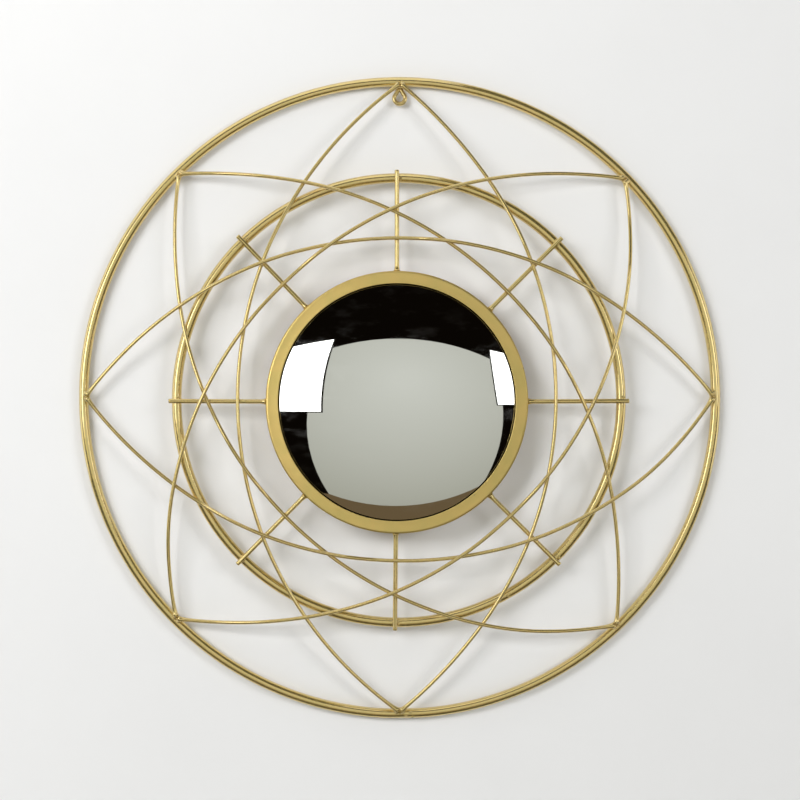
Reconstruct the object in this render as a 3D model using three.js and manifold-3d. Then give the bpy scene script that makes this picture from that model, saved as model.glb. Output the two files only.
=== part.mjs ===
// Wall mirror: a convex glass in a pressed metal pan, held by eight spokes and an inner tube ring inside a
// large outer tube ring, with eight bowed wires woven across. Everything metal is painted gold.
//
// Millimetres, +Z up. The wall is the plane y = 0 and the mirror faces -Y. "Rise" is a distance out from the
// wall. The origin is the middle of the hanging eye, on the wall, and hubZ is the height of the rings' centre.

import * as THREE from 'three';
import { mergeVertices } from 'three/addons/utils/BufferGeometryUtils.js';
import Module from 'manifold-3d';

// Driving dimensions

const outerRing = { radius: 344.8, tube: 10.5, rise: 5.5, steps: 76 };
const innerRing = { radius: 241.0, tube: 10.6, rise: 16.5, shiftX: -0.9, shiftZ: -2.8, steps: 56 };
const pan = {
  radius: 141.3, mouth: 127.8, face: 36, back: 15, sheet: 1.2, edgeRound: 2.2, shiftX: -2.9, shiftZ: -5.0, steps: 56
};
const glass = { radius: 131, curve: 417, thick: 3, gap: 1.6, steps: 40, rows: 6 };
const backPanel = { radius: 139.5, thick: 3, recess: 1 };
const spoke = { across: 5, overhang: 2.6, wallGap: 0.4, sides: 8 };
const wire = { across: 4, bend: 420, joint: 341.5, jointRise: 12.2, cutBack: 1.9, sides: 8, steps: 32 };
const eye = { wire: 4.6, ring: 6.0, neck: 5.2, sides: 8, steps: 20 };
const touch = 0.3;        // air left where welded pieces meet
const weave = 4.6;        // how far an upper wire stands over a lower one where they cross
const hubZ = -326.4;      // centre of the rings below the hanging eye
const ringSides = 10;

// The eight bowed wires and the spokes under their middles, counterclockwise from the right. Angle is the
// direction that the wire bulges to, bow its least distance from the hub, and lean, spokeLean and jointLean
// the few degrees by which the hand-set wire, the spoke and the joint on the outer ring stray. Layer says
// which wire was laid first: a wire passes over every one of a lower layer.
const directions = [
  { name: 'right', angle: 0, bow: 168.6, lean: 0, layer: 0, spokeLean: 0.3, jointLean: 0.2 },
  { name: 'upper_right', angle: 45, bow: 163.1, lean: -0.7, layer: 1, spokeLean: -0.1, jointLean: -0.8 },
  { name: 'top', angle: 90, bow: 172.1, lean: -0.2, layer: 2, spokeLean: 0, jointLean: -0.1 },
  { name: 'upper_left', angle: 135, bow: 175.4, lean: -1.7, layer: 3, spokeLean: -1.2, jointLean: -0.4 },
  { name: 'left', angle: 180, bow: 174.7, lean: -0.3, layer: 0, spokeLean: -0.3, jointLean: -0.2 },
  { name: 'lower_left', angle: 225, bow: 177.6, lean: -1.9, layer: 1, spokeLean: 0.4, jointLean: -0.3 },
  { name: 'bottom', angle: 270, bow: 176.0, lean: -1.1, layer: 2, spokeLean: -0.5, jointLean: 0 },
  { name: 'lower_right', angle: 315, bow: 174.9, lean: -1.3, layer: 3, spokeLean: 0, jointLean: -1.4 }
];

// Finishes

const goldPaint = new THREE.MeshStandardMaterial({ color: 0xc7a85c, roughness: 0.38, metalness: 0.85 });
const mirrorGlass = new THREE.MeshStandardMaterial({ color: 0xdfe3e2, roughness: 0.02, metalness: 1 });
const hardboard = new THREE.MeshStandardMaterial({ color: 0x6f5238, roughness: 0.85, metalness: 0 });

// Worked-out sizes

const radians = THREE.MathUtils.degToRad;
const spokeRise = innerRing.rise + innerRing.tube / 2 + touch + spoke.across / 2;
const wireRise = spokeRise + spoke.across / 2 + touch + wire.across / 2;
const ringRise = innerRing.rise + innerRing.tube / 2 + touch + wire.across / 2;
const spokeRest = 214;    // the wires touch no spoke further out than this

function onFront(x, z, rise) {
  return new THREE.Vector3(x, -rise, z);
}

function direction(degrees) {
  return new THREE.Vector2(Math.cos(radians(degrees)), Math.sin(radians(degrees)));
}

function ringOutline(sides, radius) {
  const shape = new THREE.Shape();
  for (let i = 0; i < sides; i++) {
    const turn = (i + 0.5) * 2 * Math.PI / sides;
    const x = radius * Math.cos(turn);
    const y = radius * Math.sin(turn);
    if (i === 0) shape.moveTo(x, y);
    else shape.lineTo(x, y);
  }
  shape.closePath();
  return shape;
}

// A profile of (radius, rise) points turned round the axis that runs out from the wall.
function turned(profile, steps) {
  const geometry = new THREE.LatheGeometry(profile.map(([radius, rise]) => new THREE.Vector2(radius, rise)), steps);
  return geometry.rotateX(Math.PI);
}

function addMesh(group, name, geometry, material) {
  const mesh = new THREE.Mesh(geometry, material);
  mesh.name = name;
  group.add(mesh);
  return mesh;
}

// Tube rings

function tubeRing(ring) {
  const profile = [];
  for (let i = 0; i <= ringSides; i++) {
    const turn = (i % ringSides + 0.5) * 2 * Math.PI / ringSides;
    profile.push([ring.radius + ring.tube / 2 * Math.cos(turn), ring.rise + ring.tube / 2 * Math.sin(turn)]);
  }
  return turned(profile, ring.steps);
}

// Pan: a flat band round the glass that rolls over into a side wall, open at the back

function panProfile() {
  const roundSteps = 3;
  const sheet = pan.sheet;
  const outer = [];
  const inner = [];
  for (let i = 0; i <= roundSteps; i++) {
    const turn = i / roundSteps * Math.PI / 2;
    const centre = [pan.radius - pan.edgeRound, pan.face - pan.edgeRound];
    const inside = pan.edgeRound - sheet;
    outer.push([centre[0] + pan.edgeRound * Math.sin(turn), centre[1] + pan.edgeRound * Math.cos(turn)]);
    inner.unshift([centre[0] + inside * Math.sin(turn), centre[1] + inside * Math.cos(turn)]);
  }
  const profile = [
    [pan.mouth, pan.face - sheet],
    [pan.mouth, pan.face],
    ...outer,
    [pan.radius, pan.back],
    [pan.radius - sheet, pan.back],
    ...inner
  ];
  profile.push(profile[0]);
  return profile.reverse();
}

// Glass: an even shell cut from a sphere, its rim just behind the band

function glassProfile() {
  const lip = pan.face - pan.sheet - glass.gap;
  const fall = radius => glass.curve - Math.sqrt(glass.curve ** 2 - radius ** 2);
  const apex = lip + fall(pan.mouth);
  const front = [];
  const back = [];
  for (let i = 0; i <= glass.rows; i++) {
    const radius = glass.radius * i / glass.rows;
    front.push([radius, apex - fall(radius)]);
    back.unshift([radius, apex - fall(radius) - glass.thick]);
  }
  return [...front, ...back].reverse();
}

function backPanelProfile() {
  const rear = pan.back + backPanel.recess;
  const front = rear + backPanel.thick;
  return [[0, rear], [backPanel.radius, rear], [backPanel.radius, front], [0, front]];
}

// Spokes: round rods from the pan's side wall over the front of the inner ring and a little past it

function spokeEnd(lane) {
  const reach = innerRing.radius + innerRing.tube / 2 + spoke.overhang;
  const start = new THREE.Vector2(pan.shiftX - innerRing.shiftX, pan.shiftZ - innerRing.shiftZ);
  const along = start.dot(lane);
  return -along + Math.sqrt(along ** 2 - start.lengthSq() + reach ** 2);
}

function spokeMesh(group, place) {
  const lane = direction(place.angle + place.spokeLean);
  const near = pan.radius + spoke.wallGap;
  const far = spokeEnd(lane);
  const rod = new THREE.CylinderGeometry(spoke.across / 2, spoke.across / 2, far - near, spoke.sides);
  const mesh = addMesh(group, `spoke_${place.name}`, rod.rotateX(Math.PI / 2), goldPaint);
  const middle = lane.clone().multiplyScalar((near + far) / 2);
  mesh.position.copy(onFront(pan.shiftX + middle.x, pan.shiftZ + middle.y, spokeRise));
  mesh.rotation.y = Math.PI / 2 - radians(place.angle + place.spokeLean);
}

// Bowed wires: an arc from joint to joint, whose ends drift to the joints that they were welded at

const hubToCentre = place => wire.bend - place.bow;
const halfTurn = place => {
  const away = hubToCentre(place);
  return Math.acos((wire.bend ** 2 + away ** 2 - wire.joint ** 2) / (2 * wire.bend * away));
};
const driftStart = radians(36);

function arcCentre(place) {
  return direction(place.angle + place.lean).multiplyScalar(-hubToCentre(place));
}

function onArc(place, turn) {
  const heading = radians(place.angle + place.lean) + turn;
  return arcCentre(place).add(new THREE.Vector2(Math.cos(heading), Math.sin(heading)).multiplyScalar(wire.bend));
}

function jointPoint(place, side) {
  const joint = directions[(directions.indexOf(place) + 2 * side + directions.length) % directions.length];
  return direction(joint.angle + joint.jointLean).multiplyScalar(wire.joint);
}

function onWire(place, turn) {
  const side = Math.sign(turn);
  const point = onArc(place, turn);
  const past = Math.abs(turn) - driftStart;
  if (past <= 0) return point;
  const end = halfTurn(place);
  const share = (past / (end - driftStart)) ** 2;
  const miss = jointPoint(place, side).sub(onArc(place, side * end));
  return point.add(miss.multiplyScalar(share));
}

// Where the arcs of two wires cross inside the ring, as a turn along the first
function crossingTurn(place, other) {
  const a = arcCentre(place);
  const b = arcCentre(other);
  const middle = a.clone().add(b).multiplyScalar(0.5);
  const half = a.distanceTo(b) / 2;
  const across = b.clone().sub(a).normalize();
  const normal = new THREE.Vector2(-across.y, across.x);
  const reach = Math.sqrt(wire.bend ** 2 - half ** 2);
  const points = [1, -1].map(sign => middle.clone().addScaledVector(normal, sign * reach));
  const inside = points[0].length() < points[1].length() ? points[0] : points[1];
  const turn = inside.clone().sub(a).angle() - radians(place.angle + place.lean);
  return Math.atan2(Math.sin(turn), Math.cos(turn));
}

// Stations along a wire: at each one it lies on the spokes and ring (0) or a wire higher (1)
function stations(place) {
  const list = [{ turn: 0, lift: 0 }];
  for (const other of directions) {
    if (other.layer === place.layer) continue;
    list.push({ turn: crossingTurn(place, other), lift: place.layer > other.layer ? 1 : 0 });
  }
  const end = halfTurn(place);
  list.push({ turn: -end, lift: 0 }, { turn: end, lift: 0 });
  return list.sort((a, b) => a.turn - b.turn);
}

function liftAt(list, turn) {
  const last = list.length - 2;
  let i = 0;
  while (i < last && list[i + 1].turn < turn) i++;
  const [from, to] = [list[i], list[i + 1]];
  const share = (turn - from.turn) / (to.turn - from.turn);
  const rampStart = 0.25;
  const eased = THREE.MathUtils.smoothstep(share, rampStart, 1 - rampStart);
  return THREE.MathUtils.lerp(from.lift, to.lift, eased);
}

// The wires lie on the spokes near the hub, then on the inner ring, and slope down to the outer ring's front
function restRise(distance) {
  if (distance < spokeRest) return wireRise;
  if (distance < innerRing.radius) {
    return THREE.MathUtils.mapLinear(distance, spokeRest, innerRing.radius, wireRise, ringRise);
  }
  return THREE.MathUtils.mapLinear(distance, innerRing.radius, wire.joint, ringRise, wire.jointRise);
}

class WireLine extends THREE.Curve {
  constructor(place) {
    super();
    this.place = place;
    this.end = halfTurn(place) - wire.cutBack / wire.bend;
    this.stations = stations(place);
  }

  getPoint(share, target = new THREE.Vector3()) {
    const turn = THREE.MathUtils.lerp(-this.end, this.end, share);
    const flat = onWire(this.place, turn);
    const rise = restRise(flat.length()) + weave * liftAt(this.stations, turn);
    return target.copy(onFront(flat.x, flat.y, rise));
  }
}

function wireGeometry(place) {
  const outline = ringOutline(wire.sides, wire.across / 2);
  return new THREE.ExtrudeGeometry(outline, { extrudePath: new WireLine(place), steps: wire.steps });
}

// Hanging eye: a small closed ring with a short neck up to the underside of the outer ring

const wasm = await Module();
wasm.setup();

function toSolid(geometry) {
  const bare = geometry.clone();
  bare.deleteAttribute('normal');
  bare.deleteAttribute('uv');
  const merged = mergeVertices(bare);
  return new wasm.Manifold(new wasm.Mesh({
    numProp: 3,
    vertProperties: Float32Array.from(merged.attributes.position.array),
    triVerts: Uint32Array.from(merged.index.array)
  }));
}

function toGeometry(solid) {
  const mesh = solid.getMesh();
  const geometry = new THREE.BufferGeometry();
  geometry.setAttribute('position', new THREE.BufferAttribute(Float32Array.from(mesh.vertProperties), 3));
  geometry.setIndex(new THREE.BufferAttribute(Uint32Array.from(mesh.triVerts), 1));
  return geometry;
}

function eyeGeometry() {
  const loop = [];
  for (let i = 0; i <= eye.sides; i++) {
    const turn = (i % eye.sides) * 2 * Math.PI / eye.sides;
    loop.push([eye.ring + eye.wire / 2 * Math.cos(turn), outerRing.rise + eye.wire / 2 * Math.sin(turn)]);
  }
  const ringUnderside = hubZ + outerRing.radius - outerRing.tube / 2;
  const neckFoot = eye.ring;
  const neckTop = ringUnderside - touch;
  const neck = new THREE.CylinderGeometry(eye.neck / 2, eye.neck / 2, neckTop - neckFoot, eye.sides);
  neck.rotateX(Math.PI / 2);
  neck.translate(0, -outerRing.rise, (neckTop + neckFoot) / 2);
  return toGeometry(toSolid(turned(loop, eye.steps)).add(toSolid(neck)));
}

// Assembly

const mirror = new THREE.Group();

const hub = new THREE.Group();
hub.position.z = hubZ;
mirror.add(hub);

addMesh(mirror, 'hanging_eye', eyeGeometry(), goldPaint);
addMesh(hub, 'outer_ring', tubeRing(outerRing), goldPaint);

const innerMesh = addMesh(hub, 'inner_ring', tubeRing(innerRing), goldPaint);
innerMesh.position.set(innerRing.shiftX, 0, innerRing.shiftZ);

const centre = new THREE.Group();
centre.position.set(pan.shiftX, 0, pan.shiftZ);
hub.add(centre);
addMesh(centre, 'mirror_frame', turned(panProfile(), pan.steps), goldPaint);
addMesh(centre, 'mirror_glass', turned(glassProfile(), glass.steps), mirrorGlass);
addMesh(centre, 'back_panel', turned(backPanelProfile(), glass.steps), hardboard);

for (const place of directions) {
  spokeMesh(hub, place);
  addMesh(hub, `wire_${place.name}`, wireGeometry(place), goldPaint);
}

export default mirror;
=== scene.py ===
# %% [markdown]
# # A round wall mirror inside a woven wire border
#
# The real mirror is a small convex glass in a pressed metal pan. Eight short spokes carry the pan inside a
# tube ring, and eight bowed wires are woven across to a larger tube ring, with a small wire eye to hang it
# by. Everything metal is sprayed with one satin gold paint.
#
# The imported model fixes where every piece is. We load it first and never touch it.

import math

import bmesh
import bpy
import numpy as np
from mathutils import Matrix, Vector, noise


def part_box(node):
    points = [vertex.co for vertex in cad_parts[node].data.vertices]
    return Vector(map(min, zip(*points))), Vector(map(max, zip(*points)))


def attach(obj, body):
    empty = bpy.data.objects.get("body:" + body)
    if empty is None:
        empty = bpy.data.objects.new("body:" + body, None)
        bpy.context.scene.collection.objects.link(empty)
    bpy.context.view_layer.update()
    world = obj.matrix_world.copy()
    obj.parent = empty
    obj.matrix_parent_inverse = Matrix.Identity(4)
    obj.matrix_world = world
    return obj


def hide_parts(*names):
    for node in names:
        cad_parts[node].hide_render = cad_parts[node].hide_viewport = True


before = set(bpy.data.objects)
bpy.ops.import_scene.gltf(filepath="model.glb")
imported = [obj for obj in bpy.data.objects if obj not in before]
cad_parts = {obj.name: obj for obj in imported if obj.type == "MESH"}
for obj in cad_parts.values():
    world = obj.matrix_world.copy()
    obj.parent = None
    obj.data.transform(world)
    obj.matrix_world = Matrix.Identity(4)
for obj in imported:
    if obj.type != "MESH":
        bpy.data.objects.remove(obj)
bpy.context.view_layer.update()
print("pieces in the frame:", len(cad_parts))

# %% [markdown]
# ## Where things are
#
# The wall is the plane y = 0 and the mirror faces -Y. A height above the wall is called a rise, as it is
# for the maker, who builds the mirror lying face up. The mirror's sizes are written in millimetres,
# because the steel stock and the glass are sold by the millimetre. The camera and the studio are placed in
# metres.
#
# The rings are measured from their own centre, the hub, which is below the hanging eye.

# %% Units and the hub
MM = 0.001
HUB_HEIGHT = -326.4


def on_wall(x, z, rise, centre_x=0.0, centre_z=0.0):
    """A point given from a centre near the hub, in metres in the frame."""
    return Vector((centre_x + x, -rise, HUB_HEIGHT + centre_z + z)) * MM


def heading(degrees):
    """Unit direction across the wall, counterclockwise from the right."""
    return np.array([math.cos(math.radians(degrees)), math.sin(math.radians(degrees))])


ring_low, ring_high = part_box("outer_ring")
print("outer ring across, mm:", round((ring_high.x - ring_low.x) / MM, 1))

# %% [markdown]
# ## Camera
#
# The picture was taken square on, from about two metres, so the rings look round and the tubes show a
# little of their inner sides. A long lens at that distance gives both. The camera looks straight along +Y
# at a point a few millimetres under the hub, which needs no shift.

# %% Camera
CAMERA_DISTANCE = 2.066
CAMERA_LENS = 85
CAMERA_SENSOR = 36
CAMERA_X = 0.0004
CAMERA_DROP = 2.6

camera_data = bpy.data.cameras.new("camera")
camera_data.lens = CAMERA_LENS
camera_data.sensor_width = CAMERA_SENSOR
camera = bpy.data.objects.new("camera", camera_data)
bpy.context.collection.objects.link(camera)
camera.location = (CAMERA_X, -CAMERA_DISTANCE, (HUB_HEIGHT - CAMERA_DROP) * MM)
camera.rotation_euler = (math.pi / 2, 0, 0)
bpy.context.scene.camera = camera
print("camera at", [round(v, 4) for v in camera.location])

# %% [markdown]
# ## A few node helpers
#
# Each finish is a small node tree. Writing the trees by hand repeats the same lines for every node, so a few
# helpers add a node with its settings and inputs, and name what the trees use most: a noise, a change of
# range, a blend of two colours, a sum, a bump and a choice between two shaders.
#
# A mix node has sockets of the same names for numbers, directions and colours, so the ones for colours are
# found by their numbers.

# %% Node helpers
MIX_FIRST, MIX_SECOND, MIX_RESULT = 6, 7, 2


def plug(socket, value):
    """Sets an input to a plain value, or links another node's output to it in its own tree."""
    if isinstance(value, bpy.types.NodeSocket):
        socket.id_data.links.new(value, socket)
    else:
        socket.default_value = value


def set_inputs(node, **inputs):
    """Sets a node's inputs by their names, written with _ for a space."""
    for name, value in inputs.items():
        plug(node.inputs[name.replace("_", " ")], value)


def add_node(tree, kind, settings=None, **inputs):
    node = tree.nodes.new(kind)
    for name, value in (settings or {}).items():
        setattr(node, name, value)
    set_inputs(node, **inputs)
    return node


def new_finish(name):
    """A material with an empty principled shader: the material, its tree and the shader."""
    finish = bpy.data.materials.new(name)
    finish.use_nodes = True
    return finish, finish.node_tree, finish.node_tree.nodes["Principled BSDF"]


def noise_at(tree, scale, detail=3.0, roughness=0.5, stretch=None):
    """Noise in the piece's own metres, so that its grain has a real size."""
    place = add_node(tree, "ShaderNodeTexCoord").outputs["Object"]
    if stretch:
        place = add_node(tree, "ShaderNodeMapping", Vector=place, Scale=stretch).outputs["Vector"]
    inputs = dict(Vector=place, Scale=scale, Detail=detail, Roughness=roughness)
    return add_node(tree, "ShaderNodeTexNoise", **inputs).outputs["Fac"]


def remap(tree, value, low, high, to_low, to_high):
    """A value stretched from one range to another, held inside the new one."""
    inputs = dict(Value=value, From_Min=low, From_Max=high, To_Min=to_low, To_Max=to_high)
    return add_node(tree, "ShaderNodeMapRange", **inputs).outputs["Result"]


def mesh_value(tree, name):
    """A value that is written on the mesh."""
    return add_node(tree, "ShaderNodeAttribute", {"attribute_name": name}).outputs["Fac"]


def calculate(tree, operation, *values):
    """The result of a sum with values that are numbers or sockets."""
    result = add_node(tree, "ShaderNodeMath", {"operation": operation})
    for socket, value in zip(result.inputs, values):
        plug(socket, value)
    return result.outputs[0]


def blend_colours(tree, amount, first, second):
    """One colour fading to another by an amount from 0 to 1. A colour is a triple or a socket."""
    mix = add_node(tree, "ShaderNodeMix", {"data_type": "RGBA"}, Factor=amount)
    for place, colour in ((MIX_FIRST, first), (MIX_SECOND, second)):
        plug(mix.inputs[place], (*colour, 1) if isinstance(colour, tuple) else colour)
    return mix.outputs[MIX_RESULT]


def bump(tree, height, strength, distance, **under):
    """The surface's direction bent by a height. Another bump can lie under it."""
    inputs = dict(Height=height, Strength=strength, Distance=distance, **under)
    return add_node(tree, "ShaderNodeBump", **inputs).outputs["Normal"]


def choose_shader(tree, choice, when_off, when_on):
    """One shader or the other, by a value that is 0 or 1."""
    mix = add_node(tree, "ShaderNodeMixShader")
    for socket, value in zip(mix.inputs, (choice, when_off, when_on)):
        plug(socket, value)
    return mix.outputs[0]


# %% [markdown]
# ## Gold paint
#
# The paint is a sprayed lacquer full of brass-coloured flakes. It shines like brushed metal, but the
# flakes lie at slightly different angles, so a reflection is soft, and the lacquer between them adds some
# plain colour.
#
# A metallic shader with a roughness near a fifth gives the soft shine. On the rods and tubes a clear coat
# adds the thin bright line of the lacquer. The band shows no such line, so its paint is rougher and has no
# coat. The one paint is also given two colours: paler on the rods and tubes, as painted light, and darker
# on the band, as painted shade.
#
# Five noises do the rest: a broad one shifts the colour between a greener and a redder gold, a fine one is
# the flake grain, one frays the chips, one makes the gloss uneven, and the last bends the surface a
# little, as sprayed paint over bare tube does. Two values written on the mesh turn the gold into dull
# primer, where it was knocked off, and into near black painted shade in the gap behind the band's lip.

# %% Gold paint
# Paler gold on the rods and tubes is painted light, darker gold on the band is painted shade; the real paint
# is one.
TUBE_GOLD_PAINTED_LIT = (0.72, 0.56, 0.185), (0.79, 0.585, 0.20)
BAND_GOLD_PAINTED_SHADED = (0.54, 0.42, 0.145), (0.60, 0.44, 0.155)
GOLD_DEEP = (0.44, 0.31, 0.085)
GOLD_EDGE = (0.62, 0.50, 0.30)
PRIMER = (0.30, 0.25, 0.17)
# Near black, painted shade for the gap between the band's lip and the glass.
GAP_SHADE = (0.022, 0.016, 0.010)
GOLD_METALLIC = 0.82
TUBE_ROUGHNESS = (0.15, 0.22)
BAND_ROUGHNESS = (0.30, 0.38)
LACQUER_ROUGHNESS, LACQUER_IOR = 0.07, 2.0
WEAR_VALUE, GAP_SHADE_VALUE = "paint_wear", "painted_gap_shade"
COLOUR_PATCH, COLOUR_RANGE = 45, (0.35, 0.65)
FLAKE_GRAIN, FLAKE_RANGE, FLAKE_SHADE = 1500, (0.30, 0.48), 0.22
FLAKE_STRENGTH, FLAKE_HEIGHT = 0.05, 0.0002
FRAY_GRAIN, FRAY_RANGE, FRAY_TIMES = 700, (0.3, 0.7), (0.5, 1.6)
BARE_RANGE, BARE_ROUGHER = (0.42, 0.55), 0.3
GLOSS_PATCH, GLOSS_RANGE = 160, (0.35, 0.65)
RIPPLE_PATCH, RIPPLE_STRENGTH, RIPPLE_HEIGHT = 120, 0.12, 0.0004


def gold_paint(name, flake=1.0, colours=TUBE_GOLD_PAINTED_LIT, roughness=TUBE_ROUGHNESS, lacquer=1.0):
    """Gold paint. Flake is how much the grain shows, and lacquer how much clear coat lies over it."""
    finish, tree, shader = new_finish(name)
    broad = remap(tree, noise_at(tree, COLOUR_PATCH, detail=4), *COLOUR_RANGE, 0, 1)
    grain = noise_at(tree, FLAKE_GRAIN, detail=2, roughness=0.6)
    speck = remap(tree, grain, *FLAKE_RANGE, FLAKE_SHADE * flake, 0)
    gold = blend_colours(tree, speck, blend_colours(tree, broad, *colours), GOLD_DEEP)
    fray = remap(tree, noise_at(tree, FRAY_GRAIN), *FRAY_RANGE, *FRAY_TIMES)
    frayed = calculate(tree, "MULTIPLY", mesh_value(tree, WEAR_VALUE), fray)
    bare = remap(tree, frayed, *BARE_RANGE, 0, 1)
    chipped = blend_colours(tree, bare, gold, PRIMER)
    gloss = remap(tree, noise_at(tree, GLOSS_PATCH), *GLOSS_RANGE, *roughness)
    ripple = bump(tree, noise_at(tree, RIPPLE_PATCH, detail=2), RIPPLE_STRENGTH, RIPPLE_HEIGHT)
    # Where the mesh value says so, the base colour turns to near black painted shade.
    set_inputs(
        shader,
        Base_Color=blend_colours(tree, mesh_value(tree, GAP_SHADE_VALUE), chipped, GAP_SHADE),
        Metallic=GOLD_METALLIC,
        Roughness=calculate(tree, "MULTIPLY_ADD", bare, BARE_ROUGHER, gloss),
        Specular_Tint=(*GOLD_EDGE, 1),
        Coat_Weight=lacquer,
        Coat_Roughness=LACQUER_ROUGHNESS,
        Coat_IOR=LACQUER_IOR,
        Normal=bump(tree, grain, FLAKE_STRENGTH, FLAKE_HEIGHT, Normal=ripple),
    )
    return finish


tube_gold = gold_paint("gold_paint_tube")
wire_gold = gold_paint("gold_paint_wire", flake=1.3)
pan_gold = gold_paint("gold_paint_pan", flake=0.8, colours=BAND_GOLD_PAINTED_SHADED, roughness=BAND_ROUGHNESS, lacquer=0.0)
bead_gold = gold_paint("gold_paint_bead", flake=1.6)
print("gold finishes made: 4")

# %% [markdown]
# ## Silvered glass
#
# A mirror could be built as clear glass over a metal layer, but seen from the front the two only read as a
# clean, slightly grey reflection. One nearly smooth metallic shader gives that, and it survives the
# export. The wiping marks on the glass are a faint noise in its roughness and a thin, dull coat that
# another noise leaves in patches.

# %% Silvered glass
SILVER = (0.84, 0.85, 0.84)
SMEAR_PATCH, SMEAR_STRETCH = 30, (1, 1, 3)
SMEAR_RANGE, SMEAR_ROUGHNESS = (0.45, 0.75), (0.012, 0.035)
WIPE_PATCH, WIPE_STRETCH = 26, (1.0, 1.0, 2.4)
WIPE_RANGE = (0.53, 0.80)
WIPE_HAZE, WIPE_ROUGHNESS, WIPE_IOR = 1.0, 0.24, 1.8


def silvered_glass(name):
    finish, tree, shader = new_finish(name)
    smear = noise_at(tree, SMEAR_PATCH, stretch=SMEAR_STRETCH)
    wiped = noise_at(tree, WIPE_PATCH, detail=4, roughness=0.65, stretch=WIPE_STRETCH)
    set_inputs(
        shader,
        Base_Color=(*SILVER, 1),
        Metallic=1.0,
        Roughness=remap(tree, smear, *SMEAR_RANGE, *SMEAR_ROUGHNESS),
        Coat_Weight=remap(tree, wiped, *WIPE_RANGE, 0, WIPE_HAZE),
        Coat_Roughness=WIPE_ROUGHNESS,
        Coat_IOR=WIPE_IOR,
    )
    return finish


mirror_silver = silvered_glass("silvered_glass")

# %% [markdown]
# ## Hardboard
#
# The pan is closed behind by a disc of brown hardboard: pressed wood fibre, smooth but never shiny, with
# pale and dark fibres a few millimetres long. Two noises stretched across each other make the fibres, a
# fine one the pores.

# %% Hardboard
BOARD_BROWN = (0.23, 0.135, 0.07)
BOARD_PALE = (0.36, 0.24, 0.14)
BOARD_DARK = (0.12, 0.065, 0.03)
BOARD_ROUGHNESS = 0.8
ACROSS_GRAIN, ACROSS_STRETCH, ACROSS_RANGE = 500, (0.25, 1, 1), (0.45, 0.70)
UPRIGHT_GRAIN, UPRIGHT_STRETCH, UPRIGHT_RANGE = 450, (1, 1, 0.3), (0.50, 0.75)
FIBRE_SHADE = 0.8
PORE_GRAIN, PORE_STRENGTH, PORE_DEPTH = 900, 0.5, 0.0003


def fibres(tree, grain, stretch, shown):
    strands = noise_at(tree, grain, detail=4, roughness=0.65, stretch=stretch)
    return remap(tree, strands, *shown, 0, FIBRE_SHADE)


def hardboard(name):
    finish, tree, shader = new_finish(name)
    across = fibres(tree, ACROSS_GRAIN, ACROSS_STRETCH, ACROSS_RANGE)
    upright = fibres(tree, UPRIGHT_GRAIN, UPRIGHT_STRETCH, UPRIGHT_RANGE)
    brown = blend_colours(tree, across, BOARD_BROWN, BOARD_PALE)
    set_inputs(
        shader,
        Base_Color=blend_colours(tree, upright, brown, BOARD_DARK),
        Roughness=BOARD_ROUGHNESS,
        Normal=bump(tree, noise_at(tree, PORE_GRAIN), PORE_STRENGTH, PORE_DEPTH),
    )
    return finish


panel_brown = hardboard("hardboard")

# %% [markdown]
# ## Making a piece
#
# Every piece is a mesh worked out from sizes. It is linked to the scene, shaded smooth and given its
# finish, and the imported pieces it stands for are hidden. All of them ride on the one body, because
# nothing on this mirror moves.

# %% Piece helper
def add_piece(name, points, faces, finish, stands_for=()):
    mesh = bpy.data.meshes.new(name)
    mesh.from_pydata([tuple(p) for p in points], [], faces)
    mesh.update()
    shaped = bmesh.new()
    shaped.from_mesh(mesh)
    bmesh.ops.recalc_face_normals(shaped, faces=shaped.faces)
    shaped.to_mesh(mesh)
    shaped.free()
    mesh.shade_smooth()
    piece = bpy.data.objects.new(name, mesh)
    bpy.context.collection.objects.link(piece)
    mesh.materials.append(finish)
    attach(piece, "root")
    if stands_for:
        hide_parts(*stands_for)
    return piece


# %% [markdown]
# ## Round rod and tube
#
# The rings, spokes and wires are all round stock that was bent. A curve object with a bevel could make
# them, but a mesh swept along the centre line lets the section swell into a weld, and gives the cut ends a
# small chamfer.
#
# At each station the section is set square to the line. The front direction, -Y, is used to keep it from
# twisting. A slow noise changes the radius by a percent or so: drawn steel is even, but sprayed paint
# isn't.

# %% Sweep helper
FRONT = np.array([0.0, -1.0, 0.0])
PAINT_UNEVEN = 0.012
PAINT_PATCH = 90


def skin(rows, size, closed):
    """Faces between rings of points. A closed skin also joins the last ring to the first."""
    faces = []
    for j in range(rows if closed else rows - 1):
        here, there = j * size, (j + 1) % rows * size
        for i in range(size):
            faces.append((here + i, here + (i + 1) % size, there + (i + 1) % size, there + i))
    return faces


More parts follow.
